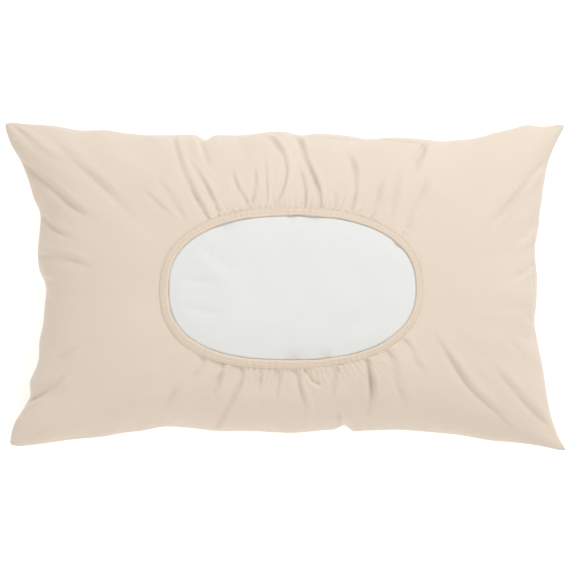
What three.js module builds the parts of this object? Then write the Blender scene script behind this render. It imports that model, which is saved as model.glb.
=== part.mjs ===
// A small oblong pillow in a pull-on cover. The cover's upper panel has an oval opening whose edge is
// gathered into a folded binding with an elastic inside, and the white inner pillow shows through it.
// Millimetres, +Z up, X along the pillow. The origin is the middle of the face that it rests on.
import * as THREE from "three";

// Driving dimensions.
const coverLength = 600; // seam corner to seam corner, along X
const coverWidth = 350; // seam corner to seam corner, along Y
const loft = 130; // resting face to the top of the cover's surface
const seamHeight = 54; // side seam above the resting face
const bellyDepth = 84; // how far the underside would hang below the seam if nothing held it up
const shortEdgePull = 36; // how far the middle of a short edge is drawn in
const longEdgePull = 15; // how far the middle of a long edge is drawn in
const openingLength = 260; // clear opening inside the binding
const openingWidth = 151;
const openingPower = 2.35; // superellipse power: 2 is an ellipse, more is fuller
const openingOffset = 8; // the opening's middle lies this far along X from the cushion's
const bindingWidth = 10;

// Cloth and gaps.
const clothThickness = 0.6;
const seamGap = 0.4; // between the two panels of a layer
const seamAllowance = 12; // from the cover's seam to the inner pillow's seam
const tickingDrop = 3; // from the cover's surface down to the ticking's
const fillDrop = 4.6; // from the cover's surface down to the filling's
const fillInset = 24; // from the cover's seam to the filling's edge

// Shape of the cushion between its seams: how squarely it fills out along X and along Y.
const fullnessPowerX = 3;
const fullnessPowerY = 2.4;

// Facets.
const sectors = 48; // round the opening and the seam, a multiple of 8 so that the corners are met
const ringsInside = 3; // from the middle to the opening's edge
const ringsOutside = 8; // from the opening's edge to the seam

const cotton = { roughness: 0.85, metalness: 0 };
const beige = new THREE.MeshStandardMaterial({ color: 0xe8d6c3, ...cotton });
const beigeBinding = new THREE.MeshStandardMaterial({ color: 0xe4d1bc, ...cotton });
const beigeThread = new THREE.MeshStandardMaterial({ color: 0xdcc7b0, ...cotton });
const white = new THREE.MeshStandardMaterial({ color: 0xf0efec, ...cotton });
const whiteFibre = new THREE.MeshStandardMaterial({ color: 0xf7f7f5, ...cotton, roughness: 1 });
const whiteElastic = new THREE.MeshStandardMaterial({ color: 0xeeeae2, ...cotton, roughness: 0.7 });

// Plan position of square coordinates u and v, which run from -1 to 1 between opposite seams. The inset
// moves the seam in by that much on all four sides.
function planOf(u, v, inset) {
  const x = u * (coverLength / 2 - inset - shortEdgePull * (1 - v * v));
  const y = v * (coverWidth / 2 - inset - longEdgePull * (1 - u * u));
  return [x, y];
}

// The square coordinates of a plan position on the cover, by repeated substitution.
function squareOf(x, y) {
  let u = 0;
  let v = 0;
  for (let step = 0; step < 12; step += 1) {
    u = x / (coverLength / 2 - shortEdgePull * (1 - v * v));
    v = y / (coverWidth / 2 - longEdgePull * (1 - u * u));
  }
  return [u, v];
}

// Share of the full height at square coordinates: 1 in the middle and 0 on the seam, with thin corners.
function fullness(u, v) {
  const alongX = Math.max(0, 1 - Math.abs(u) ** fullnessPowerX);
  const alongY = Math.max(0, 1 - Math.abs(v) ** fullnessPowerY);
  return Math.sqrt(alongX * alongY);
}

const upperHeight = (u, v, drop) =>
  seamHeight + seamGap / 2 + (loft - seamHeight - seamGap / 2 - drop) * fullness(u, v);
const lowerHeight = (u, v, drop) =>
  Math.max(drop, seamHeight - seamGap / 2 - (bellyDepth - drop) * fullness(u, v));

// The opening's edge: a superellipse, moved out by a distance along its own normal.
function openingPoint(angle, out) {
  const reach = (value) => Math.sign(value) * Math.abs(value) ** (2 / openingPower);
  const x = (openingLength / 2) * reach(Math.cos(angle));
  const y = (openingWidth / 2) * reach(Math.sin(angle));
  const slope = (value, half) => (Math.sign(value) * Math.abs(value / half) ** (openingPower - 1)) / half;
  const normal = new THREE.Vector2(slope(x, openingLength / 2), slope(y, openingWidth / 2)).normalize();
  return [openingOffset + x + out * normal.x, y + out * normal.y];
}

// The seam's square coordinates in the direction of an angle.
function seamSquare(angle) {
  const reach = Math.max(Math.abs(Math.cos(angle)), Math.abs(Math.sin(angle)));
  return [Math.cos(angle) / reach, Math.sin(angle) / reach];
}

// Where the gathered panel is cut: under the binding, half-way across it.
const panelEdge = bindingWidth * 0.55;

// Square coordinates along a spoke: 0 is the middle, 1 the panel's cut edge and 2 the seam.
function spoke(angle, along) {
  const edge = squareOf(...openingPoint(angle, panelEdge));
  const seam = seamSquare(angle);
  if (along <= 1) return edge.map((value) => value * along);
  return edge.map((value, k) => value + (seam[k] - value) * (along - 1));
}

// Stations along a spoke, closer together towards the seam, where the cushion turns down steeply.
const insideStations = Array.from({ length: ringsInside }, (_, k) => k / ringsInside);
const outsideStations = Array.from(
  { length: ringsOutside + 1 },
  (_, k) => 1 + Math.sin((k / ringsOutside) * (Math.PI / 2)),
);
const allStations = [...insideStations, ...outsideStations];

const LOWER = 0;
const UPPER = 1;

// A lathe splits its four-sided facets along one diagonal on the way out and along the other on the way
// back. Splitting the way back again, like the way out, keeps the two faces of a twisted sheet parallel.
function alignDiagonals(geometry, profile) {
  const index = [];
  for (let turn = 0; turn < sectors; turn += 1) {
    for (let k = 0; k < profile.length - 1; k += 1) {
      const here = turn * profile.length + k;
      const across = here + profile.length;
      const back = profile[k].y === UPPER && profile[k + 1].y === UPPER;
      if (back) index.push(here, across, across + 1, here, across + 1, here + 1);
      else index.push(here, across, here + 1, across + 1, here + 1, across);
    }
  }
  geometry.setIndex(index);
}

// A lathe of the profile whose turns are laid along the part: place gives each vertex from the angle of
// its turn and its profile point. A profile starts and ends on the axis, or ends where it starts.
function bentLathe(name, material, profile, place) {
  const geometry = new THREE.LatheGeometry(profile, sectors);
  const position = geometry.getAttribute("position");
  for (let turn = 0; turn <= sectors; turn += 1) {
    const angle = ((turn % sectors) / sectors) * 2 * Math.PI;
    profile.forEach((point, k) => {
      position.setXYZ(turn * profile.length + k, ...place(angle, point));
    });
  }
  alignDiagonals(geometry, profile);
  geometry.computeVertexNormals();
  const mesh = new THREE.Mesh(geometry, material);
  mesh.name = name;
  return mesh;
}

// A profile out along the lower side and back along the upper side.
function outAndBack(stations) {
  const out = stations.map((along) => new THREE.Vector2(along, LOWER));
  const back = [...stations].reverse().map((along) => new THREE.Vector2(along, UPPER));
  return [...out, ...back];
}

function surfacePoint(angle, along, inset, drop, height) {
  const [u, v] = spoke(angle, along);
  return [...planOf(u, v, inset), height(u, v, drop)];
}

// One cloth panel of the upper side: its outer face is the upper one.
function upperPanel(name, material, inset, drop, profile) {
  return bentLathe(name, material, profile, (angle, { x: along, y: side }) => {
    const inward = side === UPPER ? 0 : clothThickness;
    return surfacePoint(angle, along, inset + inward, drop + inward, upperHeight);
  });
}

// One cloth panel of the underside: its outer face is the lower one.
function lowerPanel(name, material, inset, drop) {
  return bentLathe(name, material, outAndBack(allStations), (angle, { x: along, y: side }) => {
    const inward = side === LOWER ? 0 : clothThickness;
    return surfacePoint(angle, along, inset + inward, drop + inward, lowerHeight);
  });
}

// A band round the opening. Its profile's x is the distance out from the clear edge and its y the height
// above the cover's surface.
function openingBand(name, material, profile) {
  return bentLathe(name, material, profile, (angle, { x: out, y: above }) => {
    const [x, y] = openingPoint(angle, out);
    return [x, y, upperHeight(...squareOf(x, y), 0) + above];
  });
}

// A strip round the inside of a seam, from one inset to another.
function seamStrip(name, material, fromInset, toInset, halfThickness) {
  const profile = rectangle(-toInset, -fromInset, -halfThickness, halfThickness);
  return bentLathe(name, material, profile, (angle, { x, y }) => [
    ...planOf(...seamSquare(angle), -x),
    seamHeight + y,
  ]);
}

// A closed rectangle, anticlockwise.
function rectangle(left, right, low, high) {
  return [
    new THREE.Vector2(left, low),
    new THREE.Vector2(right, low),
    new THREE.Vector2(right, high),
    new THREE.Vector2(left, high),
    new THREE.Vector2(left, low),
  ];
}

function fillCore() {
  return bentLathe("fill_core", whiteFibre, outAndBack(allStations), (angle, { x: along, y: side }) =>
    surfacePoint(angle, along, fillInset, fillDrop, side === UPPER ? upperHeight : lowerHeight),
  );
}

function coverTopPanel() {
  const profile = outAndBack(outsideStations);
  return upperPanel("cover_top_panel", beige, 0, 0, [...profile, profile[0].clone()]);
}

// The binding is one strip folded round the opening's edge, so its section is a C that opens outwards:
// one flap over the gathered panel, one under it, and the fold at the clear edge.
const flapGap = 0.4;
const flapTop = flapGap + clothThickness;
const flapBottom = -clothThickness - flapGap - clothThickness;

function openingBinding() {
  const section = [
    [0, flapBottom],
    [bindingWidth, flapBottom],
    [bindingWidth, flapBottom + clothThickness],
    [clothThickness, flapBottom + clothThickness],
    [clothThickness, flapGap],
    [bindingWidth, flapGap],
    [bindingWidth, flapTop],
    [0, flapTop],
    [0, flapBottom],
  ].map(([out, above]) => new THREE.Vector2(out, above));
  return openingBand("opening_binding", beigeBinding, section);
}

// A flat elastic lies in the fold, between it and the panel's cut edge.
function openingElastic() {
  const clearance = 0.35;
  const low = flapBottom + clothThickness + clearance;
  const section = rectangle(
    clothThickness + clearance,
    panelEdge - clearance,
    low,
    flapGap - clearance,
  );
  return openingBand("opening_elastic", whiteElastic, section);
}

// A row of stitching, as one ring of thread on top of the binding.
function stitchRow(name, out) {
  const threadRadius = 0.4;
  const sides = 6;
  const centre = flapTop + 0.3 + threadRadius;
  const section = Array.from({ length: sides + 1 }, (_, k) => {
    const turn = ((k % sides) / sides) * 2 * Math.PI;
    return new THREE.Vector2(out + threadRadius * Math.cos(turn), centre + threadRadius * Math.sin(turn));
  });
  return openingBand(name, beigeThread, section);
}

const innerPillow = new THREE.Group();
innerPillow.add(
  fillCore(),
  lowerPanel("ticking_bottom_panel", white, seamAllowance, tickingDrop),
  upperPanel("ticking_top_panel", white, seamAllowance, tickingDrop, outAndBack(allStations)),
  seamStrip("ticking_seam_overlock", white, seamAllowance + 4, seamAllowance + 9, 0.6),
);

const cover = new THREE.Group();
cover.add(
  lowerPanel("cover_bottom_panel", beige, 0, 0),
  coverTopPanel(),
  seamStrip("cover_seam_overlock", beigeThread, 4, 10, 0.7),
  openingBinding(),
  openingElastic(),
  stitchRow("binding_stitch_outer", bindingWidth - 1.4),
  stitchRow("binding_stitch_inner", bindingWidth - 4.6),
);

const pillow = new THREE.Group();
pillow.add(innerPillow, cover);

export default pillow;
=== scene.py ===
"""An oblong pillow in a pull-on cover whose oval opening is gathered into an elastic binding.

The pillow lies with the opening up. Lengths are in millimetres until a mesh is made, in metres. Square
coordinates u and v run from -1 to 1 between opposite seams. A grid is an array of points: rows, columns, 3.
"""

import math

import bmesh
import bpy
import numpy as np
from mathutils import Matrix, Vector


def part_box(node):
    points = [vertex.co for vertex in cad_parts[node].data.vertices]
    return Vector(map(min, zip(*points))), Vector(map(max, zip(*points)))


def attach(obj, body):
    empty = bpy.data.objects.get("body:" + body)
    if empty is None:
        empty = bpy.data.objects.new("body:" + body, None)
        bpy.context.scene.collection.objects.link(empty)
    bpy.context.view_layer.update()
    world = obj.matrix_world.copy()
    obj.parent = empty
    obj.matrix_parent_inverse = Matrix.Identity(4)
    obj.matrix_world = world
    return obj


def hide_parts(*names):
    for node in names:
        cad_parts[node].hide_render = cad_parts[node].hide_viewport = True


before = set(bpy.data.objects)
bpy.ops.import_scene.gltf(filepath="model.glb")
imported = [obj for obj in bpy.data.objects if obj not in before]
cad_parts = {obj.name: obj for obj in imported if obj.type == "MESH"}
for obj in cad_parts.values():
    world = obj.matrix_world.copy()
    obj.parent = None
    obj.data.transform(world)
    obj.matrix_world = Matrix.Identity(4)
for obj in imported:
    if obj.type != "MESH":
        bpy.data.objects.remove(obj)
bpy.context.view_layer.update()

MM = 0.001

# ---- Sizes from the frame, in millimetres ----


def box_mm(node):
    low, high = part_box(node)
    return np.array(low) / MM, np.array(high) / MM


COVER_HIGH = box_mm("cover_top_panel")[1]
TICKING_HIGH = box_mm("ticking_top_panel")[1]
BINDING_LOW, BINDING_HIGH = box_mm("opening_binding")
SEAM_LOW, SEAM_HIGH = box_mm("cover_seam_overlock")

HALF_LENGTH, HALF_WIDTH = COVER_HIGH[0], COVER_HIGH[1]
TICKING_INSET = HALF_LENGTH - TICKING_HIGH[0]
SEAM_HEIGHT = (SEAM_LOW[2] + SEAM_HIGH[2]) / 2
TICKING_DROP = 3  # from the cover's surface down to the ticking's
LOFT = TICKING_HIGH[2] + TICKING_DROP
BELLY_DEPTH = 84  # how far the underside would hang below the seam if nothing held it up
BELLY_SOFTNESS = 9  # how softly the underside bends where it meets what it lies on

BINDING_WIDTH = 9.4
BAND_X = (BINDING_HIGH[0] - BINDING_LOW[0]) / 2
BAND_Y = (BINDING_HIGH[1] - BINDING_LOW[1]) / 2
OPENING_X = BAND_X - BINDING_WIDTH
OPENING_Y = BAND_Y - BINDING_WIDTH
# The opening's middle. The cloth has pulled it a little to the left and towards the bottom.
MIDDLE_X = (BINDING_HIGH[0] + BINDING_LOW[0]) / 2 - 1.2
MIDDLE_Y = (BINDING_HIGH[1] + BINDING_LOW[1]) / 2 - 2

# ---- Small numeric tools ----


def smoothstep(low, high, value):
    share = np.clip((value - low) / (high - low), 0, 1)
    return share * share * (3 - 2 * share)


def running_total(steps):
    return np.append(0, np.cumsum(steps))


def smooth_curve(points):
    """A smooth function through a few (place, value) points."""
    at, value = np.array(points, float).T
    slope = np.gradient(value, at)

    def curve(x):
        x = np.clip(x, at[0], at[-1])
        k = np.clip(np.searchsorted(at, x) - 1, 0, len(at) - 2)
        span = at[k + 1] - at[k]
        s = (x - at[k]) / span
        return (
            value[k] * (1 + 2 * s) * (1 - s) ** 2
            + slope[k] * span * s * (1 - s) ** 2
            + value[k + 1] * s * s * (3 - 2 * s)
            + slope[k + 1] * span * s * s * (s - 1)
        )

    return curve


RING_STEPS = 8192  # places round a ring at which its noise is worked out
PLANE_WAVES = 28  # waves that are added up for a plane's noise


def ring_noise(low, high, seed):
    """A function of a turn from 0 to 1: seeded noise with low to high waves per turn, about -1 to 1."""
    rng = np.random.default_rng(seed)
    spectrum = np.zeros(RING_STEPS // 2 + 1, complex)
    count = high + 1 - low
    spectrum[low : high + 1] = rng.normal(size=count) + 1j * rng.normal(size=count)
    wave = np.fft.irfft(spectrum)
    wave /= 2 * wave.std()
    places = np.arange(RING_STEPS) / RING_STEPS
    return lambda turn: np.interp(np.mod(turn, 1), places, wave, period=1)


def plane_noise(pitch, seed):
    """A function of x and y: seeded smooth noise with waves about that many millimetres long."""
    rng = np.random.default_rng(seed)
    heading = rng.uniform(0, 2 * np.pi, PLANE_WAVES)
    rate = 2 * np.pi / (pitch * rng.uniform(0.7, 1.6, PLANE_WAVES))
    phase = rng.uniform(0, 2 * np.pi, PLANE_WAVES)

    def noise(x, y):
        total = 0
        for h, r, p in zip(heading, rate, phase):
            total = total + np.sin(r * (np.cos(h) * x + np.sin(h) * y) + p)
        return total / math.sqrt(PLANE_WAVES / 2) / 2

    return noise


# ---- The cushion's shape ----

# How far each side is drawn in from the straight line between its corners, along that side.
LEFT_PULL = smooth_curve(
    [(-1, 1), (-0.85, 7.3), (-0.75, 18), (-0.69, 24), (-0.6, 24.3), (-0.48, 32.3), (-0.3, 35), (-0.13, 39),
     (0.03, 38.3), (0.08, 34.4), (0.15, 33), (0.34, 34.5), (0.46, 34.5), (0.52, 29.5), (0.64, 22.3),
     (0.76, 14), (0.86, 3.6), (1, -4.5)]
)
RIGHT_PULL = smooth_curve(
    [(-1, -5), (-0.93, 3.3), (-0.82, 11.6), (-0.65, 18.3), (-0.47, 22.8), (-0.3, 26), (-0.2, 28.5),
     (-0.1, 26.7), (0.04, 25.5), (0.13, 27.2), (0.24, 27.8), (0.32, 25.3), (0.48, 22.3), (0.63, 21.4),
     (0.76, 16.7), (0.87, 9), (1, -3)]
)
TOP_PULL = smooth_curve(
    [(-1, -2.5), (-0.93, 0), (-0.82, 2.5), (-0.73, 7), (-0.63, 7.5), (-0.57, 10.5), (-0.35, 12),
     (-0.18, 12.5), (0, 9.5), (0.06, 13), (0.1, 11), (0.16, 11.5), (0.25, 13.7), (0.4, 12.4), (0.51, 14.5),
     (0.6, 17.4), (0.68, 15.3), (0.74, 10.2), (0.8, 5.9), (0.86, 1.2), (0.91, 3), (1, -1)]
)
BOTTOM_PULL = smooth_curve(
    [(-1, 1), (-0.94, 2.6), (-0.75, 10), (-0.66, 12.5), (-0.59, 16.5), (-0.51, 19.5), (-0.45, 23),
     (-0.35, 22), (-0.26, 19.5), (-0.15, 18.6), (0.02, 17), (0.16, 20), (0.3, 19), (0.37, 20), (0.51, 17.5),
     (0.62, 14.1), (0.73, 8), (0.81, 5.6), (0.9, 1.8), (1, -4.8)]
)
TIP_PULL = 2.2  # how far a corner's tip is rounded off along each side
TIP_START = 0.965  # the share |uv| at which the rounding starts


def plan_of(u, v, inset=0):
    """Plan position of square coordinates, with the seam moved in by inset."""
    tip = TIP_PULL * smoothstep(TIP_START, 1, np.abs(u * v))
    pull_x = np.where(u < 0, LEFT_PULL(v), RIGHT_PULL(v)) + tip
    pull_y = np.where(v < 0, BOTTOM_PULL(u), TOP_PULL(u)) + tip
    return u * (HALF_LENGTH - inset - pull_x), v * (HALF_WIDTH - inset - pull_y)


def square_of(x, y):
    """Square coordinates of a plan position on the cover."""
    u, v = x / HALF_LENGTH, y / HALF_WIDTH
    for _ in range(14):  # rounds, which is enough for it to settle
        u_next = x / (HALF_LENGTH - np.where(u < 0, LEFT_PULL(v), RIGHT_PULL(v)))
        v = y / (HALF_WIDTH - np.where(v < 0, BOTTOM_PULL(u), TOP_PULL(u)))
        u = u_next
    return u, v


def seam_height(u, v):
    """The seam's height: the corners hang a little, each by its own amount."""
    hang = 9 + 2.5 * np.sign(u) - 2 * np.sign(v)
    return SEAM_HEIGHT - hang * np.abs(u * v) ** 3


def fullness(u, v):
    """Share of the full height: 1 in the middle, 0 on the seam, with thin corners."""
    along_x = np.clip(1 - np.abs(u) ** 3, 0, None)
    along_y = np.clip(1 - np.abs(v) ** 2.4, 0, None)
    thin_corner = 1 - 0.3 * np.clip(np.abs(u * v), 0, 1) ** 2.5
    return np.sqrt(along_x * along_y) * thin_corner


def upper_height(u, v, drop=0):
    return seam_height(u, v) + (LOFT - SEAM_HEIGHT - drop) * fullness(u, v)


def lower_height(u, v, drop=0):
    """The underside, which bulges down until the surface it lies on flattens it."""
    free = seam_height(u, v) - (BELLY_DEPTH - drop) * fullness(u, v) - drop
    blend = np.clip(free + BELLY_SOFTNESS, 0, None) ** 2 / (4 * BELLY_SOFTNESS)
    return np.where(free > BELLY_SOFTNESS, free, np.where(free < -BELLY_SOFTNESS, 0, blend)) + drop


def pillow_point(height, u, v, inset=0, drop=0):
    """A point of the surface that height gives, or of one that lies inside it by inset and drop."""
    x, y = plan_of(u, v, inset)
    return np.stack([x, y, height(u, v, drop)], axis=-1)


# ---- Grids of points, and meshes from them ----

CLOTH = 0.6  # thickness


def normals_of(grid, wrap):
    """Unit normals of a grid of points. wrap says that the second axis closes on itself."""
    closed = np.roll(grid, -1, axis=1) - np.roll(grid, 1, axis=1)
    across = closed if wrap else np.gradient(grid, axis=1)
    normal = np.cross(np.gradient(grid, axis=0), across)
    length = np.linalg.norm(normal, axis=-1, keepdims=True)
    return normal / np.maximum(length, 1e-9)


def add_to_scene(name, data):
    item = bpy.data.objects.new(name, data)
    bpy.context.scene.collection.objects.link(item)
    return item


def raised_by(grid, height, wrap):
    return grid + normals_of(grid, wrap) * height[..., None]


def make_object(name, points_mm, faces):
    mesh = bpy.data.meshes.new(name)
    mesh.from_pydata((np.asarray(points_mm) * MM).tolist(), [], faces)
    mesh.validate()
    mesh.update()
    mesh.polygons.foreach_set("use_smooth", [True] * len(mesh.polygons))
    return add_to_scene(name, mesh)


def grid_faces(rows, columns, wrap, start=0, flip=False):
    """Four-sided faces of a grid whose points are numbered row by row."""
    number = start + np.arange(rows * columns).reshape(rows, columns)
    if wrap:
        number = np.append(number, number[:, :1], axis=1)
    corners = (number[:-1, :-1], number[:-1, 1:], number[1:, 1:], number[1:, :-1])
    quads = np.stack(corners, axis=-1).reshape(-1, 4)
    return (quads[:, ::-1] if flip else quads).tolist()


def cloth_from_grid(name, grid, wrap):
    """A closed sheet of cloth: the grid is its outer face, and the inner one lies behind it."""
    rows, columns = grid.shape[:2]
    inner = grid - normals_of(grid, wrap) * CLOTH
    points = np.concatenate([grid.reshape(-1, 3), inner.reshape(-1, 3)])
    count = rows * columns
    faces = grid_faces(rows, columns, wrap, flip=True)
    faces += grid_faces(rows, columns, wrap, start=count)
    number = np.arange(count).reshape(rows, columns)
    edges = [number[0], number[-1, ::-1]]
    if not wrap:
        around = (number[0], number[:, -1], number[-1, ::-1], number[::-1, 0])
        edges = [np.concatenate([side[:-1] for side in around])]
    for edge in edges:
        after = np.roll(edge, -1)
        faces += np.stack([edge, after, after + count, edge + count], axis=-1).tolist()
    return make_object(name, points, faces)


def closed_ring(name, grid):
    """A closed body from a grid of sections: rows go round the section and columns round the ring."""
    rows, columns = grid.shape[:2]
    faces = np.array(grid_faces(rows + 1, columns, True)) % (rows * columns)
    return make_object(name, grid.reshape(-1, 3), faces.tolist())


# ---- The opening and the spokes that run from it to the seam ----

SPOKES_LONG = 250  # along each long side
SPOKES_SHORT = 150  # along each short side
SPOKES = 2 * (SPOKES_LONG + SPOKES_SHORT)
ROWS = 56  # steps along each spoke of the cover's upper panel


def seam_squares():
    """Square coordinates of the spokes' ends on the seam, from the middle of the right side round."""
    short = np.arange(SPOKES_SHORT) / SPOKES_SHORT * 2 - 1
    long_ = np.arange(SPOKES_LONG) / SPOKES_LONG * 2 - 1
    u = np.concatenate([np.ones(SPOKES_SHORT), -long_, -np.ones(SPOKES_SHORT), long_])
    v = np.concatenate([short, np.ones(SPOKES_LONG), -short, -np.ones(SPOKES_LONG)])
    return np.roll(u, -SPOKES_SHORT // 2), np.roll(v, -SPOKES_SHORT // 2)


def opening_power(x, y):
    """How square the oval is on each side of its middle: most towards the lower left."""
    return np.where((x < 0) & (y < 0), 2.6, 2.35)


def opening_point(angle, out):
    """A point of the opening's edge, moved out along its own normal."""
    cos, sin = np.cos(angle), np.sin(angle)
    power = opening_power(cos, sin)
    x = OPENING_X * np.sign(cos) * np.abs(cos) ** (2 / power)
    y = OPENING_Y * np.sign(sin) * np.abs(sin) ** (2 / power)
    slope_x = np.sign(x) * np.abs(x / OPENING_X) ** (power - 1) / OPENING_X
    slope_y = np.sign(y) * np.abs(y / OPENING_Y) ** (power - 1) / OPENING_Y
    length = np.hypot(slope_x, slope_y)
    x, y = MIDDLE_X + x, MIDDLE_Y + y
    return x + out * slope_x / length, y + out * slope_y / length


def opening_share(x, y):
    """1 on the opening's clear edge, less inside it and more outside."""
    from_x, from_y = x - MIDDLE_X, y - MIDDLE_Y
    power = opening_power(from_x, from_y)
    return (np.abs(from_x / OPENING_X) ** power + np.abs(from_y / OPENING_Y) ** power) ** (1 / power)


def out_of_opening(x, y):
    """Rough distance out from the opening's clear edge, in millimetres, negative inside it."""
    from_x, from_y = np.abs(x - MIDDLE_X), np.abs(y - MIDDLE_Y)
    reach = np.hypot(from_x, from_y)
    radial = reach * (1 - 1 / np.maximum(opening_share(x, y), 1e-6))
    lean_x, lean_y = from_x / OPENING_X**2, from_y / OPENING_Y**2
    toward = np.hypot(lean_x, lean_y) * np.maximum(reach, 1e-6)
    return radial * (from_x * lean_x + from_y * lean_y) / np.maximum(toward, 1e-9)


def opening_angles():
    """The spokes' angles at the opening: even along its edge between the four diagonal spokes."""
    fine = np.linspace(0, 2 * np.pi, 40001)
    x, y = opening_point(fine, 0)
    length = running_total(np.hypot(np.diff(x), np.diff(y)))
    heading = np.unwrap(np.arctan2(y - MIDDLE_Y, x - MIDDLE_X))
    corner = math.atan2(OPENING_Y * 1.2, OPENING_X)
    half_turn = np.array([0, corner, math.pi / 2, math.pi - corner])
    half_count = np.array([0, SPOKES_SHORT / 2, SPOKES // 4, SPOKES_SHORT / 2 + SPOKES_LONG])
    stops = np.interp(np.concatenate([half_turn, half_turn + math.pi, [2 * math.pi]]), heading, length)
    counts = np.concatenate([half_count, half_count + SPOKES // 2, [SPOKES]])
    at = np.interp(np.arange(SPOKES), counts, stops)
    return np.interp(at, length, fine), at / length[-1]


SEAM_U, SEAM_V = seam_squares()
ANGLE, TURN = opening_angles()
RIM_LENGTH = float(np.hypot(*(np.roll(c, -1) - c for c in opening_point(ANGLE, 0))).sum())


def band_scale(angle):
    """The binding's width against its usual one: it rolls under a little on the right and above."""
    return 0.895 - 0.115 * np.cos(angle) - 0.02 * np.sin(angle) - 0.035 * np.cos(2 * angle)


def stations():
    """Places along a spoke from the panel's cut edge, 0, to the seam, 1: close together at both ends."""
    at = (np.arange(ROWS) + 0.5) / ROWS
    step = (0.28 + 0.72 * smoothstep(0.05, 0.4, at)) * (0.06 + 0.94 * (1 - at**5))
    return running_total(step) / step.sum()


def rows_between(start, end, shares):
    """Rows of points at shares of the way from the start to the end of each spoke."""
    return [a + (b - a) * shares[:, None] for a, b in zip(start, end)]


def panel_square():
    """Square coordinates of the upper panel's grid: rows outwards, columns round."""
    edge = square_of(*opening_point(ANGLE, 0.5 * BINDING_WIDTH * band_scale(ANGLE)))
    return rows_between(edge, (SEAM_U, SEAM_V), stations())


# ---- Folds ----

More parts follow.
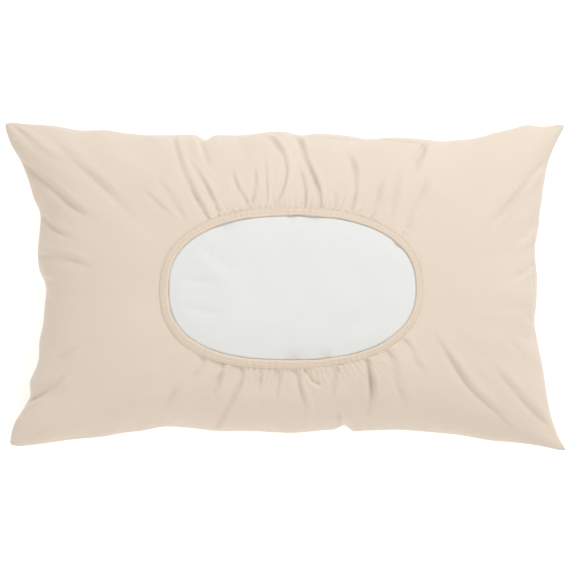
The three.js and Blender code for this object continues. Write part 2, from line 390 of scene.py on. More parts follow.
# Each fold: a line in plan, its crease's depth and width, how far it raises the cloth beside it (positive
# on the left of the line's direction, negative on the right), and the ends at which it fades out.
FOLDS = [
    # upper left
    ([(-289.5, 136), (-262, 114), (-245, 100), (-226, 84), (-200, 65)], 2.9, 4.6, 1.9, "end"),
    ([(-268, 174), (-247, 154), (-227, 133), (-207, 115), (-187, 96), (-165, 74), (-140, 52)],
     2, 5.8, 1.3, "both"),
    ([(-296, 176), (-268, 146), (-252, 132)], 1.5, 3.8, 0.9, "end"),
    ([(-284, 168), (-255, 140), (-240, 126)], 1.2, 3.8, 0.8, "end"),
    ([(-138, 118), (-116, 84), (-102, 58)], 1.3, 4.2, 0.6, "both"),
    ([(-154, 106), (-138, 88), (-119, 68)], 1.2, 4, 0.6, "both"),
    ([(-268, 78), (-242, 58), (-224, 48)], 1.9, 3.8, 1.2, "end"),
    ([(-262, 32), (-226, 27), (-200, 15)], 1.7, 4.6, 1.2, "end"),
    ([(-262, 8), (-244, 3)], 1.4, 3.4, 0.8, "end"),
    # top
    ([(-83, 71), (-89, 82), (-101, 105), (-110, 124), (-120, 158)], 1.6, 3.4, -1.2, "none"),
    ([(-72, 79), (-81, 99), (-99, 128), (-106, 138)], 1.6, 2.8, -0.9, "end"),
    ([(-94, 160), (-86, 139), (-80, 120)], 2.2, 3.6, -1.2, "end"),
    ([(-42, 88), (-52, 105), (-59, 128)], 1.5, 2.8, -0.7, "end"),
    ([(-36, 88), (-33, 107), (-33, 134)], 1.4, 2.4, -0.7, "end"),
    ([(-21, 88), (-21, 105), (-23, 136)], 1.4, 2.4, -0.7, "end"),
    ([(-8, 94), (-3, 106), (0, 124), (-4, 142), (-15, 158)], 2, 2.8, -1.3, "none"),
    ([(36, 84), (34, 102), (28, 117), (20, 136), (15, 154), (2, 166)], 2.4, 2.9, -1.3, "none"),
    ([(19, 86), (19, 105), (11, 132)], 1.5, 2.6, -0.7, "end"),
    ([(50, 86), (52, 100)], 1.1, 2.6, 0.5, "end"),
    ([(70, 85), (73, 111), (70, 132), (58, 150)], 1.6, 3, -0.9, "end"),
    ([(91, 76), (98, 102), (104, 124)], 1.3, 3.6, -0.8, "end"),
    ([(111, 74), (116, 104), (121, 132)], 1.1, 3.6, -0.7, "end"),
    ([(148, 162), (146, 150), (141, 134), (138, 114)], 1.5, 3, 0.8, "end"),
    ([(126, 62), (134, 82), (148, 110), (150, 128)], 1.6, 4.4, -1, "end"),
    # upper right
    ([(296, 156), (280, 135), (264, 117), (249, 99), (236, 84), (220, 66), (205, 48)], 2.7, 3.3, 1.6, "both"),
    ([(272, 66), (253, 50), (236, 41)], 1.6, 4.6, 1, "end"),
    ([(270, 27), (253, 13), (238, 2)], 1.6, 4, 0.9, "end"),
    # lower left
    ([(-284, -129), (-261, -115), (-246, -105), (-228, -84)], 2.6, 3.4, -1.6, "end"),
    ([(-254, -86), (-238, -74), (-214, -56)], 1.7, 4.4, -1, "both"),
    # bottom
    ([(-87, -78), (-95, -92), (-106, -106)], 1.3, 3.4, 0.7, "end"),
    ([(-110, -100), (-133, -135)], 1, 4.2, 0.5, "both"),
    ([(-66, -82), (-71, -98), (-79, -120)], 1.7, 3, 0.9, "end"),
    ([(-46, -88), (-48, -100), (-53, -113), (-63, -132), (-74, -152)], 1.9, 3, 1, "none"),
    ([(-27, -92), (-29, -116)], 1.3, 2.6, 0.6, "end"),
    ([(-7, -92), (-12, -126)], 1.3, 3, 0.6, "end"),
    ([(10, -89), (14, -104), (20, -122), (21, -150)], 1.9, 2.8, 1.1, "end"),
    ([(20, -89), (26, -99), (36, -104), (45, -102)], 1.7, 2.4, -0.8, "end"),
    ([(54, -89), (50, -106), (45, -126)], 1.5, 2.8, 0.7, "end"),
    ([(86, -79), (90, -101), (90, -127), (85, -148)], 2.5, 3, 1.5, "end"),
    ([(58, -160), (59, -146), (52, -128)], 2, 3.4, 1, "end"),
    ([(108, -71), (116, -96), (124, -120), (138, -140)], 1.7, 5.2, 1, "end"),
    ([(127, -60), (136, -77), (146, -100)], 1.5, 3.8, 0.7, "end"),
    # lower right
    ([(148, -38), (178, -83), (195, -107), (217, -128), (258, -168)], 2.1, 3.6, 1.8, "both"),
    ([(214, -78), (243, -113), (259, -129), (285, -158), (299, -174)], 2.2, 4.8, 1.7, "both"),
    ([(236, -54), (254, -80)], 1.4, 5, 0.8, "both"),
    ([(270, -42), (256, -31)], 1.7, 4.2, -0.9, "end"),
    # beside seams that have rolled over
    ([(30, 160), (75, 156), (110, 156), (149, 152)], 1.3, 1.3, 0.5, "none"),
    ([(276, 104), (266, 60), (263, 40), (265, 20), (264, -20), (262, -34)], 1.2, 1.3, 0.5, "both"),
]


def fold_line(points):
    """A smooth line through a fold's points, as short straight stretches."""
    points = np.array(points, float)
    reach = running_total(np.linalg.norm(np.diff(points, axis=0), axis=1))
    at = np.linspace(0, reach[-1], 4 * len(points))
    return np.stack([smooth_curve(list(zip(reach, axis)))(at) for axis in points.T], axis=-1)


def along_and_beside(line, x, y):
    """Each plan point's place along the line, 0 to 1, and its signed distance from it, left positive."""
    best = np.full(x.shape, np.inf)
    place, beside = np.zeros(x.shape), np.zeros(x.shape)
    count = len(line) - 1
    for k in range(count):
        start, step = line[k], line[k + 1] - line[k]
        ahead = ((x - start[0]) * step[0] + (y - start[1]) * step[1]) / np.hypot(*step) ** 2
        ahead = np.clip(ahead, 0, 1)
        away_x, away_y = x - start[0] - ahead * step[0], y - start[1] - ahead * step[1]
        away = np.hypot(away_x, away_y)
        side = np.sign(step[0] * away_y - step[1] * away_x)
        nearer = away < best
        best = np.where(nearer, away, best)
        place = np.where(nearer, (k + ahead) / count, place)
        beside = np.where(nearer, side * away, beside)
    return place, beside


FADES = {
    "none": lambda place: np.ones(place.shape),
    "end": lambda place: 1 - smoothstep(0.55, 1, place),
    "both": lambda place: smoothstep(0, 0.3, place) * (1 - smoothstep(0.62, 1, place)),
}


def fold_heights(x, y, folds):
    """How far the folds raise or lower the cloth at plan points."""
    total = np.zeros(x.shape)
    for points, depth, width, raised, fading in folds:
        low_x, low_y = np.min(points, axis=0) - 5 * width
        high_x, high_y = np.max(points, axis=0) + 5 * width
        near = (x > low_x) & (x < high_x) & (y > low_y) & (y < high_y)
        place, beside = along_and_beside(fold_line(points), x[near], y[near])
        fade = FADES[fading](place)
        uneven = 1 + 0.22 * np.sin(11 * place + points[0][0])
        crease = -depth * np.exp(-np.abs(beside / width) ** 1.4)
        away_from_roll = (beside - np.sign(raised) * 1.5 * width) / (0.95 * width)
        total[near] += fade * uneven * (crease + abs(raised) * np.exp(-(away_from_roll**2)))
    return total


# ---- Gathers round the opening ----

# Each size of gather: its noise, its height and how far out it reaches.
FINE_GATHER, FINE_HEIGHT, FINE_REACH = ring_noise(125, 185, seed=11), 0.88, 11
MIDDLE_GATHER, MIDDLE_HEIGHT, MIDDLE_REACH = ring_noise(48, 90, seed=12), 0.9, 21
BROAD_GATHER, BROAD_HEIGHT, BROAD_REACH = ring_noise(18, 40, seed=13), 1.15, 46
REACH_NOISE = ring_noise(60, 140, seed=14)
GATHER_DRIFT = plane_noise(38, seed=15)


def gather_share(turn):
    """How strongly the cloth is gathered round the opening: most above and below, little at the ends."""
    across = np.abs(np.sin(2 * np.pi * turn))
    return 0.03 + 0.97 * smoothstep(0.45, 0.95, across)


def rounded_ridges(wave):
    """Turns a wave into round ridges with narrow valleys between them."""
    return 1 - 2 * np.exp(-np.abs(wave) * 2.2)


def gather_place(turn, out, x, y):
    """Where round the opening each point's gather starts, and how far that gather reaches."""
    place = turn + 0.0011 * GATHER_DRIFT(x, y) * smoothstep(3, 40, out)
    return place, 1 + 0.35 * REACH_NOISE(place)


def fine_gathers(turn, out, x, y):
    """Small sharp gathers right beside the binding."""
    place, reach = gather_place(turn, out, x, y)
    fading = np.exp(-((np.clip(out, 0, None) / (FINE_REACH * reach)) ** 1.5))
    ridges = rounded_ridges(FINE_GATHER(place))
    return FINE_HEIGHT * gather_share(turn) * smoothstep(-3, 1, out) * ridges * fading


def gather_heights(turn, straight, out, x, y):
    """How far the larger gathers raise or lower the cloth, at distances out from the binding's edge."""
    place, reach = gather_place(turn, out, x, y)
    outside = np.clip(out, 0, None)
    ridges = rounded_ridges(MIDDLE_GATHER(0.35 * place + 0.65 * straight))
    middle = MIDDLE_HEIGHT * ridges * np.exp(-outside / (MIDDLE_REACH * reach))
    broad = BROAD_HEIGHT * BROAD_GATHER(place) * np.exp(-outside / (BROAD_REACH * reach))
    return gather_share(turn) * (smoothstep(-3.5, 2.5, out) * middle + smoothstep(-2, 14, out) * broad)


# ---- Puckers along a seam, and the slow unevenness of stuffing ----

# Each size of pucker: its noise, its height and how far in it reaches.
SEAM_PUCKER, PUCKER_HEIGHT, PUCKER_REACH = ring_noise(70, 150, seed=21), 0.6, 9
SEAM_WAVE, WAVE_HEIGHT, WAVE_REACH = ring_noise(18, 46, seed=22), 1.3, 30
LUMPS = plane_noise(95, seed=23)
SMALL_LUMPS = plane_noise(34, seed=24)


def seam_turn(u, v):
    """Place round the seam, 0 to 1, of square coordinates seen from the middle."""
    return np.mod(np.arctan2(v, u) / (2 * np.pi), 1)


def seam_distance(u, v):
    """Rough distance in from the seam, in millimetres."""
    return np.minimum((1 - np.abs(u)) * HALF_LENGTH, (1 - np.abs(v)) * HALF_WIDTH)


def pucker_heights(u, v, under=False):
    """Small puckers that run in from the seam, most along the middles of the sides, others underneath."""
    inward = seam_distance(u, v)
    turn = seam_turn(u, v)
    away_from_corner = 1 - smoothstep(0.5, 0.98, np.abs(u * v))
    small = PUCKER_HEIGHT * SEAM_PUCKER(turn + 0.31 * under) * np.exp(-inward / PUCKER_REACH)
    wave = WAVE_HEIGHT * SEAM_WAVE(turn + 0.17 * under) * np.exp(-inward / WAVE_REACH)
    return away_from_corner * (small + wave) * smoothstep(0, 4, inward)


# Where the seam has rolled in over the cushion's edge, so that the underside shows beyond it: square
# coordinates of the middle of each such stretch, how long it is, and how far the seam has rolled.
ROLLED_SEAMS = [((1, 0.05), 0.62, 3.6), ((0.42, 1), 0.20, 3), ((-1, -0.1), 0.25, 1.4)]
SEAM_SWAY = ring_noise(14, 34, seed=25)
# Notches in the seam: where, how long and how deep.
SEAM_NOTCHES = [((-0.285, 1), 0.022, 6), ((0.205, -1), 0.022, 5), ((0.24, -1), 0.02, -1.5)]


def seam_roll(u, v):
    """How far the seam has rolled in, in millimetres."""
    roll = 0
    for (at_u, at_v), half, depth in ROLLED_SEAMS:
        away = np.hypot(u - at_u, v - at_v)
        roll = roll + depth * (1 - smoothstep(0.6 * half, half, away))
    return roll


def seam_shift(u, v):
    """How far the cushion's edge moves in plan, inwards, near the seam: its sway and its notches."""
    shift = 0.4 * SEAM_SWAY(seam_turn(u, v)) * (1 - smoothstep(0.75, 0.95, np.abs(u * v)))
    for (at_u, at_v), half, depth in SEAM_NOTCHES:
        away = np.hypot(u - at_u, (v - at_v) * HALF_WIDTH / HALF_LENGTH)
        shift = shift + depth * np.exp(-((away / half) ** 2))
    return shift


def move_edge(grid, u, v, distance, reach):
    """Moves the grid's edge inwards in plan by a distance that fades over reach millimetres."""
    fade = np.exp(-((seam_distance(u, v) / reach) ** 2)) * distance
    share_x, share_y = np.abs(u) ** 14, np.abs(v) ** 14
    total = np.maximum(share_x + share_y, 1e-9)
    moved = grid.copy()
    moved[..., 0] -= np.sign(u) * fade * share_x / total
    moved[..., 1] -= np.sign(v) * fade * share_y / total
    return moved


SHIFT_REACH = 16  # how far in from the seam its sway and notches are felt


def shape_seam(grid, u, v, roll_reach):
    """Gives a panel's edge the seam's sway and notches, and its roll, which is felt over roll_reach."""
    grid = move_edge(grid, u, v, seam_shift(u, v), SHIFT_REACH)
    return move_edge(grid, u, v, seam_roll(u, v), roll_reach)


def lump_heights(x, y):
    return 1.5 * LUMPS(x, y) + 0.35 * SMALL_LUMPS(x, y)


# ---- Materials ----

COVER_PITCH = 0.55 * MM  # between the threads of the cover's cloth
TICKING_PITCH = 0.5 * MM
RIB_PITCH = 1.1 * MM  # between the ribs of the elastic
BAND_SCALE = 0.314  # a wave texture of this scale repeats once a metre


class Nodes:
    """A short way to lay out a material's nodes."""

    def __init__(self, name):
        self.material = bpy.data.materials.new(name)
        self.material.use_nodes = True
        self.tree = self.material.node_tree
        self.shader = self.tree.nodes["Principled BSDF"]

    def put(self, value, socket):
        """Links an output to a socket, or gives the socket a value."""
        if hasattr(value, "is_output"):
            self.tree.links.new(value, socket)
        else:
            socket.default_value = value

    def add(self, kind, **inputs):
        node = self.tree.nodes.new(kind)
        for key, value in inputs.items():
            self.put(value, node.inputs[key])
        return node

    def surface(self, inputs):
        for key, value in inputs.items():
            self.put(value, self.shader.inputs[key])
        return self.material

    def math(self, operation, first, second):
        node = self.tree.nodes.new("ShaderNodeMath")
        node.operation = operation
        self.put(first, node.inputs[0])
        self.put(second, node.inputs[1])
        return node.outputs[0]

    def blend(self, *parts):
        """The sum of some outputs, each times its weight."""
        total, *others = [self.math("MULTIPLY", output, weight) for output, weight in parts]
        for other in others:
            total = self.math("ADD", total, other)
        return total

    def place(self):
        return self.tree.nodes.new("ShaderNodeTexCoord").outputs["Object"]

    def noise(self, scale, detail, roughness, stretch=None):
        where = self.place()
        if stretch:
            where = self.add("ShaderNodeMapping", Vector=where, Scale=stretch).outputs["Vector"]
        inputs = {"Scale": scale, "Detail": detail, "Roughness": roughness}
        return self.add("ShaderNodeTexNoise", Vector=where, **inputs).outputs["Fac"]

    def wave(self, direction, pitch, distortion):
        inputs = {"Scale": BAND_SCALE / pitch, "Distortion": distortion, "Detail": 1}
        node = self.add("ShaderNodeTexWave", Vector=self.place(), **inputs)
        node.wave_type = "BANDS"
        node.bands_direction = direction
        return node.outputs["Fac"]

    def colour_between(self, share, dark, light):
        node = self.tree.nodes.new("ShaderNodeMix")
        node.data_type = "RGBA"
        self.put(share, node.inputs["Factor"])
        self.put((*dark, 1), node.inputs["A"])
        self.put((*light, 1), node.inputs["B"])
        return node.outputs["Result"]

    def bump(self, height, strength, distance, under=None):
        node = self.add("ShaderNodeBump", Height=height, Strength=strength, Distance=distance)
        if under:
            self.put(under, node.inputs["Normal"])
        return node.outputs["Normal"]


def linear(*colour):
    """Linear colour from display values between 10 and 255."""
    return tuple(((value / 255 + 0.055) / 1.055) ** 2.4 for value in colour)


def woven_cloth(name, dark, light, pitch, sheen, roughness, bump):
    """Woven cloth: crossing threads, slubs, faint clouding, and a soft sheen."""
    nodes = Nodes(name)
    weave = nodes.math("MULTIPLY", nodes.wave("X", pitch, 0.25), nodes.wave("Y", pitch, 0.25))
    slub_x = nodes.noise(260, 2, 0.6, stretch=(0.12, 3, 1))
    slub_y = nodes.noise(260, 2, 0.6, stretch=(3, 0.12, 1))
    slubs = nodes.blend((slub_x, 0.5), (slub_y, 0.5))
    clouds = nodes.noise(14, 3, 0.55)
    share = nodes.blend((clouds, 0.45), (slubs, 0.45), (weave, 0.2))
    fibres = nodes.bump(nodes.noise(900, 3, 0.6), 0.12, 0.0004)
    threads = nodes.bump(weave, bump, 0.0003, under=fibres)
    return nodes.surface({
        "Base Color": nodes.colour_between(share, dark, light),
        "Roughness": nodes.math("ADD", roughness - 0.08, nodes.math("MULTIPLY", slubs, 0.16)),
        "Sheen Weight": sheen,
        "Sheen Roughness": 0.45,
        "Sheen Tint": (1, 0.99, 0.97, 1),
        "Specular IOR Level": 0.35,
        "Normal": nodes.bump(slubs, 0.25, 0.0004, under=threads),
    })


def patterned(nodes, pattern, dark, light, roughness, sheen, bump, bump_distance):
    """A material whose colour and bump both follow one pattern."""
    return nodes.surface({
        "Base Color": nodes.colour_between(pattern, dark, light),
        "Roughness": roughness,
        "Sheen Weight": sheen,
        "Normal": nodes.bump(pattern, bump, bump_distance),
    })


def thread(name, dark, light):
    """Spun thread: fine turns across it."""
    nodes = Nodes(name)
    twist = nodes.noise(1500, 2, 0.6, stretch=(1, 1, 0.3))
    return patterned(nodes, twist, dark, light, 0.7, 0.2, 0.5, 0.0003)


def ribbed_elastic(name, dark, light):
    nodes = Nodes(name)
    return patterned(nodes, nodes.wave("X", RIB_PITCH, 1), dark, light, 0.75, 0, 0.6, 0.0004)


def fibre(name, dark, light):
    """Loose polyester fibre."""
    nodes = Nodes(name)
    return patterned(nodes, nodes.noise(220, 6, 0.75), dark, light, 0.95, 0.4, 0.8, 0.002)


# The material that goes into each slot.
MATERIALS = {
    "beige_cover_cloth": woven_cloth(
        "cover_cloth", linear(224, 208, 192), linear(234, 220, 206), COVER_PITCH, 0.35, 0.72, 0.35
    ),
    "beige_binding_cloth": woven_cloth(
        "binding_cloth", linear(223, 207, 189), linear(234, 219, 203), COVER_PITCH, 0.2, 0.75, 0.4
    ),
    "white_ticking": woven_cloth(
        "ticking_cloth", linear(226, 227, 226), linear(236, 237, 237), TICKING_PITCH, 0.15, 0.8, 0.3
    ),
    "beige_thread": thread("beige_thread", linear(206, 188, 166), linear(228, 212, 194)),
    "white_thread": thread("white_thread", linear(222, 221, 216), linear(242, 241, 238)),
    "white_elastic": ribbed_elastic("white_elastic", linear(212, 208, 198), linear(240, 238, 230)),
    "fibre_filling": fibre("white_fibre", linear(226, 226, 224), linear(250, 250, 248)),
}


def finish_piece(piece, slot, node):
    """Gives a piece its material, and has it stand for its CAD node."""
    piece.data.materials.append(MATERIALS[slot])
    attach(piece, "root")
    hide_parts(node)
    return piece


# ---- The pieces ----

SEAM_GAP = 0.4  # between the two panels of the cover
FOLD_STRENGTH = 1.15  # of the folds before the simulation
CRISP_STRENGTH = 0.42  # of the sharp part of the folds that is added after it
CRISP_WIDTH = 0.62  # the width of that part, as a share of the fold's
SHARP_WIDTH = 2.9  # folds up to this wide get all of it
GATHER_SPARE = 1.6  # height of the gathers in the unstrained cloth, as a share of that at the start


def panel_places(grid):
    """For the panel's points: distance out from the binding's outer edge, place round the opening along
    the spokes, and place round it straight out from the edge."""
    x, y = grid[..., 0], grid[..., 1]
    edge_x, edge_y = opening_point(ANGLE, BINDING_WIDTH * band_scale(ANGLE))
    out = np.hypot(x - edge_x, y - edge_y)
    out *= np.where(opening_share(x, y) < opening_share(edge_x, edge_y), -1, 1)
    forward_x = np.roll(edge_x, -1) - np.roll(edge_x, 1)
    forward_y = np.roll(edge_y, -1) - np.roll(edge_y, 1)
    length = np.hypot(forward_x, forward_y)
    aside = ((x - edge_x) * forward_x + (y - edge_y) * forward_y) / length
    around = RIM_LENGTH + 2 * np.pi * (BINDING_WIDTH + np.clip(out, 0, None))
    turn = np.broadcast_to(TURN, x.shape)
    return out, turn, turn + aside / around


def upper_panel_grid(gathered):
    """The cover's upper panel with its folds, and with its gathers at a share of their usual height."""
    u, v = panel_square()
    grid = shape_seam(pillow_point(upper_height, u, v), u, v, 9)
    grid[..., 2] += SEAM_GAP / 2
    x, y = grid[..., 0], grid[..., 1]
    out, turn, straight = panel_places(grid)
    clear_of_rim = smoothstep(-1.5, 5, out)
    clear_of_seam = smoothstep(0, 7, seam_distance(u, v))
    raised = gathered * gather_heights(turn, straight, out, x, y)
    raised += clear_of_rim * clear_of_seam * FOLD_STRENGTH * fold_heights(x, y, FOLDS)
    raised += clear_of_rim * (pucker_heights(u, v) + lump_heights(x, y) * clear_of_seam)
    return raised_by(grid, raised, True)


def with_crisp_relief(grid):
    """Adds what a simulation smooths away: the sharp part of the folds and the smallest gathers."""
    u, v = panel_square()
    x, y = grid[..., 0], grid[..., 1]
    out, _, straight = panel_places(grid)
    narrow = []
    for points, depth, width, raised, fading in FOLDS:
        sharp = min(1, (SHARP_WIDTH / width) ** 1.5)
        narrow.append((points, sharp * depth, CRISP_WIDTH * width, sharp * raised, fading))
    clear = smoothstep(-1, 2, out) * smoothstep(0, 6, seam_distance(u, v))
    raised = fine_gathers(straight, out, x, y) + CRISP_STRENGTH * clear * fold_heights(x, y, narrow)
    return raised_by(grid, raised, True)


PANEL_FRAMES = 14
PANEL_CAP = 5  # how far the simulation may move a point
PANEL_SETTINGS = {
    "quality": 6, "mass": 0.12, "tension_stiffness": 12, "compression_stiffness": 12, "shear_stiffness": 4,
    "bending_stiffness": 0.05, "air_damping": 2, "use_pressure": True, "uniform_pressure_force": 3,
}


def relaxed_cloth(start, rest, underneath):
    """The grid after a short cloth simulation. The first and last rows are held. rest is the shape in
    which the cloth is unstrained, and it rests on the piece underneath."""
    rows, columns = start.shape[:2]
    piece = make_object("simulated", start.reshape(-1, 3), grid_faces(rows, columns, True, flip=True))
    piece.shape_key_add(name="start")
    unstrained = piece.shape_key_add(name="unstrained")
    unstrained.data.foreach_set("co", (rest * MM).astype(np.float32).ravel())
    held = piece.vertex_groups.new(name="held")
    held.add(list(range(2 * columns)), 1.0, "REPLACE")
    held.add(list(range((rows - 1) * columns, rows * columns)), 1.0, "REPLACE")
    collision = underneath.modifiers.new("collision", "COLLISION")
    underneath.collision.thickness_outer = 0.0005
    cloth = piece.modifiers.new("cloth", "CLOTH")
    for setting, value in PANEL_SETTINGS.items():
        setattr(cloth.settings, setting, value)
    cloth.settings.vertex_group_mass = held.name
    cloth.settings.rest_shape_key = unstrained
    cloth.settings.effector_weights.gravity = 0
    cloth.collision_settings.use_collision = True
    cloth.collision_settings.distance_min = 0.0008
    cloth.collision_settings.use_self_collision = False
    cloth.point_cache.frame_start = 1
    cloth.point_cache.frame_end = PANEL_FRAMES
    for step in range(1, PANEL_FRAMES + 1):
        bpy.context.scene.frame_set(step)
    shaped = piece.evaluated_get(bpy.context.evaluated_depsgraph_get()).to_mesh()
    moved = np.zeros(rows * columns * 3, np.float32)
    shaped.vertices.foreach_get("co", moved)
    moved = moved.reshape(rows, columns, 3).astype(float) / MM - start
    reach = np.linalg.norm(moved, axis=-1, keepdims=True)
    moved *= np.minimum(1, PANEL_CAP / np.maximum(reach, 1e-9))
    bpy.context.scene.frame_set(1)
    bpy.data.objects.remove(piece)
    underneath.modifiers.remove(collision)
    return start + moved


def cover_top_panel(underneath):
    grid = upper_panel_grid(1)
    grid = relaxed_cloth(grid, upper_panel_grid(GATHER_SPARE), underneath)
    grid = with_crisp_relief(grid)
    piece = cloth_from_grid("cover_top_cloth", grid, True)
    return finish_piece(piece, "beige_cover_cloth", "cover_top_panel")


def square_grid(columns, rows):
    """An even grid of square coordinates that matches the spokes' ends on the seam."""
    u = np.arange(columns + 1) / columns * 2 - 1
    v = np.arange(rows + 1) / rows * 2 - 1
    return np.meshgrid(u, v)


UNDER_FOLDS = [
    ([(-285, 150), (-235, 112), (-190, 88)], 2.6, 6, 1.4, "both"),
    ([(-262, 158), (-214, 118)], 1.8, 6, -0.8, "both"),
    ([(282, 148), (240, 118), (196, 84)], 2.4, 6, 1.2, "both"),
    ([(255, 158), (222, 124)], 1.5, 6, 0.8, "both"),
    ([(-283, -150), (-238, -116), (-188, -90)], 2.8, 6, -1.4, "both"),
    ([(-250, -155), (-218, -120)], 1.6, 5.5, 0.8, "both"),
    ([(284, -152), (236, -112), (190, -86)], 2.6, 6, 1.3, "both"),
    ([(258, -158), (226, -116)], 1.6, 5.5, -0.8, "both"),
]
UNDER_LUMPS = plane_noise(80, seed=31)


def cover_bottom_panel():
    u, v = square_grid(SPOKES_LONG, SPOKES_SHORT)
    grid = shape_seam(pillow_point(lower_height, u, v), u, v, 5)
    grid[..., 2] -= SEAM_GAP / 2 * smoothstep(10, 40, grid[..., 2])
    x, y = grid[..., 0], grid[..., 1]
    off_the_floor = smoothstep(0, 14, grid[..., 2])
    clear_of_seam = smoothstep(0, 7, seam_distance(u, v))
    raised = pucker_heights(u, v, under=True)
    raised += off_the_floor * (fold_heights(x, y, UNDER_FOLDS) + 1.3 * UNDER_LUMPS(x, y) * clear_of_seam)
    grid = raised_by(grid, raised, False)
    grid[..., 2] = np.maximum(grid[..., 2], 0)
    piece = cloth_from_grid("cover_bottom_cloth", grid, False)
    return finish_piece(piece, "beige_cover_cloth", "cover_bottom_panel")


# The folded strip's section, as distance out from the clear edge and height above the panel: its lower
# layer, its upper face and its inside.
BINDING_LOWER = [(BINDING_WIDTH, -1.5), (BINDING_WIDTH * 0.5, -1.9), (1.4, -1.6), (0.3, -0.7)]
BINDING_FACE = [(0, 0.2), (0.4, 1.2), (1.5, 1.9), (3.2, 2.15), (5, 2.05), (7, 1.75), (8.6, 1.45),
                (BINDING_WIDTH, 1.15)]
BINDING_INSIDE = [(BINDING_WIDTH, 0.75), (8.4, 1), (6.8, 1.3), (5, 1.55), (3.2, 1.6), (1.8, 1.35),
                  (0.95, 0.8), (0.65, 0.2), (0.9, -0.5), (1.7, -1.1), (BINDING_WIDTH * 0.5, -1.4),
                  (BINDING_WIDTH, -1.05)]
FACE_STEPS = 26  # points across the upper face, enough to carry the stitching's dips
ELASTIC_SECTION = [(1.5, -0.7), (4.4, -0.85), (4.4, -0.2), (4.4, 0.25), (3, 0.5), (1.5, 0.35), (1.3, -0.1)]

BINDING_RIPPLE = ring_noise(80, 130, seed=41)
BINDING_WANDER = ring_noise(6, 30, seed=42)
STITCH_LINES = (BINDING_WIDTH - 1.5, BINDING_WIDTH - 4.7)
STITCH_PINCH = 0.38  # how deep the stitching draws the binding in
BAND_COLUMNS = 1400
ELASTIC_COLUMNS = 700


def face_height(out):
    return np.interp(out, *np.array(BINDING_FACE).T)


def sewn_height(height, out, turn):
    """Height of the binding's upper layer, once the stitching has drawn it in and it has rippled."""
    pinch = sum(np.exp(-(((out - line) / 0.55) ** 2)) for line in STITCH_LINES)
    ripple = 0.32 * gather_share(turn) * BINDING_RIPPLE(turn) * smoothstep(0, 5, out)
    return height - STITCH_PINCH * pinch + (ripple + 0.10 * BINDING_RIPPLE(turn + 0.3))


def above_panel(turn, out, above):
    """A point over the cover's upper surface, at a distance out from the opening's clear edge."""
    angle = np.interp(turn, np.append(TURN, 1), np.append(ANGLE, 2 * np.pi))
    x, y = opening_point(angle, out * band_scale(angle) + 0.35 * BINDING_WANDER(turn))
    return np.stack([x, y, upper_height(*square_of(x, y)) + above], axis=-1)


def opening_binding():
    turn = np.arange(BAND_COLUMNS) / BAND_COLUMNS
    across = np.linspace(0, BINDING_WIDTH, FACE_STEPS)
    section = BINDING_LOWER + list(zip(across, face_height(across))) + BINDING_INSIDE
    rows = [
        above_panel(turn, out, sewn_height(above, out, turn) if above > 0 else above)
        for out, above in section
    ]
    piece = closed_ring("opening_binding_strip", np.array(rows))
    return finish_piece(piece, "beige_binding_cloth", "opening_binding")


def opening_elastic():
    turn = np.arange(ELASTIC_COLUMNS) / ELASTIC_COLUMNS
    waves = 0.12 * np.sin(2 * np.pi * 260 * turn)
    rows = [above_panel(turn, out, above + waves * (above > 0)) for out, above in ELASTIC_SECTION]
    piece = closed_ring("opening_elastic_band", np.array(rows))
    return finish_piece(piece, "white_elastic", "opening_elastic")


STITCH_LENGTH = 2.5
STITCH_PITCH = 3.3
STITCH_RADIUS = 0.24
STITCH_LIFT = 0.10  # height of a stitch's middle above the binding
STITCH_DIP = 0.42  # how far its ends go down from there
STITCH_SIDES, STITCH_STEPS = 8, 7


def stitch_row(name, line, node):
    """A row of separate stitches that lie in the binding and dip into it at both ends."""
    count = int(RIM_LENGTH * 1.06 / STITCH_PITCH)
    half = 0.5 * STITCH_LENGTH / STITCH_PITCH / count
    share = np.linspace(-1, 1, STITCH_STEPS)
    radius = STITCH_RADIUS * np.sqrt(np.clip(1.02 - share**6, 0, 1))
    round_it = 2 * np.pi * np.arange(STITCH_SIDES) / STITCH_SIDES
    points, faces = [], []
    for stitch in range(count):
        turn = np.mod((stitch + 0.5) / count + half * share, 1)
        lift = sewn_height(face_height(line), line, turn) + STITCH_LIFT - STITCH_DIP * share**4
        centre = above_panel(turn, line, lift)
        forward = np.gradient(centre, axis=0)
        forward /= np.linalg.norm(forward, axis=1, keepdims=True)
        sideways = np.cross(forward, (0, 0, 1))
        sideways /= np.linalg.norm(sideways, axis=1, keepdims=True)
        up = np.cross(sideways, forward)
        rings = np.cos(round_it)[:, None] * sideways[:, None] + np.sin(round_it)[:, None] * up[:, None]
        start = STITCH_STEPS * STITCH_SIDES * stitch
        points.append((centre[:, None] + radius[:, None, None] * rings).reshape(-1, 3))
        faces += grid_faces(STITCH_STEPS, STITCH_SIDES, True, start=start)
        first = np.arange(start, start + STITCH_SIDES)
        faces += [first[::-1].tolist(), (first + (STITCH_STEPS - 1) * STITCH_SIDES).tolist()]
    piece = make_object(name, np.concatenate(points), faces)
    return finish_piece(piece, "beige_thread", node)


TICKING_WRINKLES = [
    ([(-118, 6), (-92, 4), (-60, 8)], 1.1, 6, 0.5, "both"),
    ([(-112, -22), (-84, -28), (-58, -26)], 1.1, 6.5, 0.5, "both"),
    ([(-96, 48), (-70, 26), (-50, 14)], 1, 7, -0.5, "both"),
    ([(60, -52), (84, -34), (104, -10)], 0.9, 8, 0.4, "both"),
    ([(-20, -60), (6, -40), (36, -34)], 0.6, 8, 0.3, "both"),
]
TICKING_LUMPS = plane_noise(62, seed=51)
UNDER_BINDING = 2.15  # from the cover's surface down to the ticking, below the binding
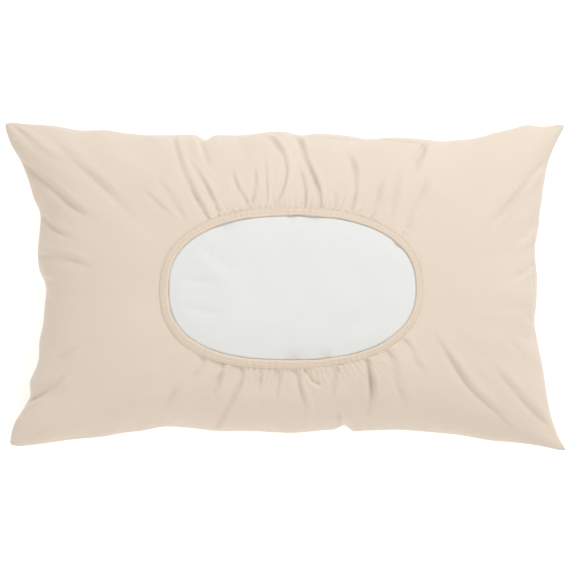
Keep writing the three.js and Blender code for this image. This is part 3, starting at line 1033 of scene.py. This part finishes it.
# Where the ticking lies lower than the binding's edge: the place and half its length.
LOOSE_RIM = [(-67, 66, 12), (5, 76, 5), (28, 75, 12), (118, 45, 4), (7, -79, 8), (41, -78, 7)]
TICKING_RISE = 5  # of the lower ticking above the cover's lower panel
TICKING_SLACK = 7  # how far the ticking drops away from the cover beside the binding
FILL_INSET, FILL_DROP = 12, 9.5  # of the stuffing, inside the ticking's seam and the cover's surface
FILL_LUMPS = plane_noise(26, seed=61)

TICKING_ROWS_IN = 44  # from the middle of the opening to its edge
TICKING_ROWS_OUT = 40  # from there to the seam


def ticking_squares():
    """Square coordinates of the upper ticking: rows from the middle of the opening out to the seam, close
    together under the binding's edge."""
    rim = opening_point(ANGLE, 0)
    to_rim = 1 - (1 - np.arange(TICKING_ROWS_IN) / TICKING_ROWS_IN) ** 2.2
    to_seam = (np.arange(TICKING_ROWS_OUT) / (TICKING_ROWS_OUT - 1)) ** 2
    inner = square_of(*rows_between((MIDDLE_X, MIDDLE_Y), rim, to_rim))
    outer = rows_between(square_of(*rim), (SEAM_U, SEAM_V), to_seam)
    return [np.concatenate(parts) for parts in zip(inner, outer)]


def close_middle(piece):
    """Merges the points that the first row of a sheet has in one place."""
    cloth = bmesh.new()
    cloth.from_mesh(piece.data)
    bmesh.ops.remove_doubles(cloth, verts=cloth.verts, dist=1e-5)
    bmesh.ops.delete(cloth, geom=[edge for edge in cloth.edges if not edge.link_faces], context="EDGES")
    cloth.to_mesh(piece.data)
    cloth.free()


def ticking_top_panel():
    u, v = (part[:, ::2] for part in ticking_squares())
    grid = pillow_point(upper_height, u, v, TICKING_INSET, TICKING_DROP)
    x, y = grid[..., 0], grid[..., 1]
    out = out_of_opening(x, y)
    cover_u, cover_v = square_of(x, y)
    under_cover = upper_height(cover_u, cover_v) - grid[..., 2]
    bulge = 1 - smoothstep(-16, 1, out)
    pressed = 1 - smoothstep(-1.2, 0.9, out)
    crown = 2 * np.clip(1 - opening_share(x, y) ** 2, 0, 1)
    wrinkles = fold_heights(x, y, TICKING_WRINKLES) + 0.5 * TICKING_LUMPS(x, y)
    loose = sum(np.exp(-(((x - px) / half) ** 2) - ((y - py) / 7) ** 2) for px, py, half in LOOSE_RIM)
    rim = (2.6 - 2.8 * loose) * pressed
    squeezed = under_cover - UNDER_BINDING + rim + 1 * bulge + crown + bulge * wrinkles
    beside = 1 - smoothstep(1, BINDING_WIDTH + 4, out)
    slack = -TICKING_SLACK * smoothstep(4, 30, seam_distance(u, v))
    slack += np.minimum(0, FOLD_STRENGTH * fold_heights(x, y, FOLDS))
    grid[..., 2] += beside * squeezed + (1 - beside) * slack
    piece = cloth_from_grid("ticking_top_cloth", grid, True)
    close_middle(piece)
    return finish_piece(piece, "white_ticking", "ticking_top_panel")


def ticking_bottom_panel():
    u, v = square_grid(120, 80)
    grid = pillow_point(lower_height, u, v, TICKING_INSET, TICKING_RISE)
    piece = cloth_from_grid("ticking_bottom_cloth", grid, False)
    return finish_piece(piece, "white_ticking", "ticking_bottom_panel")


def fill_core():
    """The stuffing, as one lumpy closed body."""
    u, v = square_grid(96, 64)
    upper = pillow_point(upper_height, u, v, TICKING_INSET + FILL_INSET, FILL_DROP)
    lower = pillow_point(lower_height, u, v, TICKING_INSET + FILL_INSET, FILL_DROP)
    clear = smoothstep(0, 25, seam_distance(u, v))
    upper[..., 2] += 0.9 * clear * FILL_LUMPS(upper[..., 0], upper[..., 1])
    lower[..., 2] += 0.9 * clear * FILL_LUMPS(lower[..., 0] + 300, lower[..., 1])
    inner = np.zeros(u.shape, bool)
    inner[1:-1, 1:-1] = True
    number = np.arange(u.size).reshape(u.shape)
    under = np.where(inner, u.size + np.cumsum(inner.ravel()).reshape(u.shape) - 1, number)
    faces = grid_faces(*u.shape, False)
    faces += [tuple(int(under.flat[k]) for k in reversed(face)) for face in faces]
    points = np.concatenate([upper.reshape(-1, 3), lower[inner]])
    piece = make_object("stuffing", points, faces)
    return finish_piece(piece, "fibre_filling", "fill_core")


SEAM_COLUMNS = 1200


def seam_ring(name, inset, width, slot, node, seed):
    """A seam allowance with overlock loops, inside a seam."""
    k = np.arange(SEAM_COLUMNS) / SEAM_COLUMNS * SPOKES
    u, v = (np.interp(k, np.arange(SPOKES + 1), np.append(at, at[0])) for at in (SEAM_U, SEAM_V))
    loops = 0.28 * np.abs(np.sin(np.pi * k * 1.4))
    wander = 0.3 * ring_noise(30, 90, seed)(k / SPOKES)
    rows = []
    for share, thick in ((0, 0.35), (0.5, 0.55), (1, 0.35), (1, -0.35), (0.5, -0.55), (0, -0.35)):
        z = seam_height(u, v) + wander * share + thick + np.sign(thick) * loops
        ring = np.stack([*plan_of(u, v, inset + share * width), z], axis=-1)
        rows.append(move_edge(ring, u, v, seam_shift(u, v) + seam_roll(u, v), SHIFT_REACH))
    piece = closed_ring(name, np.array(rows))
    return finish_piece(piece, slot, node)


def make_pillow():
    ticking_top = ticking_top_panel()
    stuffing = fill_core()
    ticking_bottom = ticking_bottom_panel()
    ticking_seam = seam_ring("ticking_overlock", 16, 4.5, "white_thread", "ticking_seam_overlock", 71)
    cover_bottom = cover_bottom_panel()
    cover_top = cover_top_panel(ticking_top)
    cover_seam = seam_ring("cover_overlock", 4, 5, "beige_thread", "cover_seam_overlock", 72)
    on_cover = [
        opening_binding(),
        opening_elastic(),
        stitch_row("outer_stitches", STITCH_LINES[0], "binding_stitch_outer"),
        stitch_row("inner_stitches", STITCH_LINES[1], "binding_stitch_inner"),
        cover_seam,
    ]


# ---- Camera, light and floor ----


LENS, SENSOR = 200, 36
PICTURE_WIDTH = 0.614  # metres, at the seam's height
AIM = (-0.001, 0.001)  # where the camera is above
LIT_POINT = Vector((0, 0, 0.05))
SKY_COLOUR, SKY_STRENGTH = (1, 0.978, 0.94, 1), 0.57
# Place, size in metres, watts and colour.
KEY_LIGHT = ((1.05, 1.82, 1.7), 0.9, 29.3, (0.955, 0.98, 1))
FILL_LIGHT = ((-0.4, -1.4, 2.6), 2, 25, (1, 0.985, 0.95))
FLOOR_HALF = 6000
FLOOR_DROP = 0.3  # below the cushion, so that the two faces never share a plane
FLOOR_GLOW, FLOOR_GLOW_STRENGTH = (1, 0.992, 0.975, 1), 0.35


def make_camera():
    """A long lens straight above the middle."""
    data = bpy.data.cameras.new("camera")
    data.lens, data.sensor_width, data.clip_end = LENS, SENSOR, 100
    camera = add_to_scene("camera", data)
    camera.location = (*AIM, SEAM_HEIGHT * MM + PICTURE_WIDTH / 2 / (SENSOR / 2 / LENS))
    bpy.context.scene.camera = camera


def area_light(name, place, size, power, colour):
    data = bpy.data.lights.new(name, "AREA")
    data.shape, data.size, data.energy, data.color = "DISK", size, power, colour
    light = add_to_scene(name, data)
    light.location = place
    light.rotation_mode = "QUATERNION"
    light.rotation_quaternion = (LIT_POINT - Vector(place)).to_track_quat("-Z", "Y")


def make_floor():
    corners = [(x * FLOOR_HALF, y * FLOOR_HALF, -FLOOR_DROP) for x, y in ((-1, -1), (1, -1), (1, 1), (-1, 1))]
    floor = make_object("floor", corners, [(0, 1, 2, 3)])
    nodes = Nodes("floor_paint")
    grain = nodes.noise(60, 3, 0.6)
    floor.data.materials.append(nodes.surface({
        "Base Color": nodes.colour_between(grain, (0.90, 0.90, 0.90), (0.92, 0.92, 0.92)),
        "Roughness": 0.9,
        "Emission Color": FLOOR_GLOW,
        "Emission Strength": FLOOR_GLOW_STRENGTH,
    }))


def make_studio():
    """Bright, even light that comes a little more from the top right, above a pale floor."""
    scene = bpy.context.scene
    scene.view_settings.view_transform = "Standard"
    scene.world = bpy.data.worlds.new("studio")
    scene.world.use_nodes = True
    sky = scene.world.node_tree.nodes["Background"].inputs
    sky["Color"].default_value, sky["Strength"].default_value = SKY_COLOUR, SKY_STRENGTH
    area_light("key", *KEY_LIGHT)
    area_light("fill", *FILL_LIGHT)
    make_floor()


make_camera()
make_studio()
make_pillow()
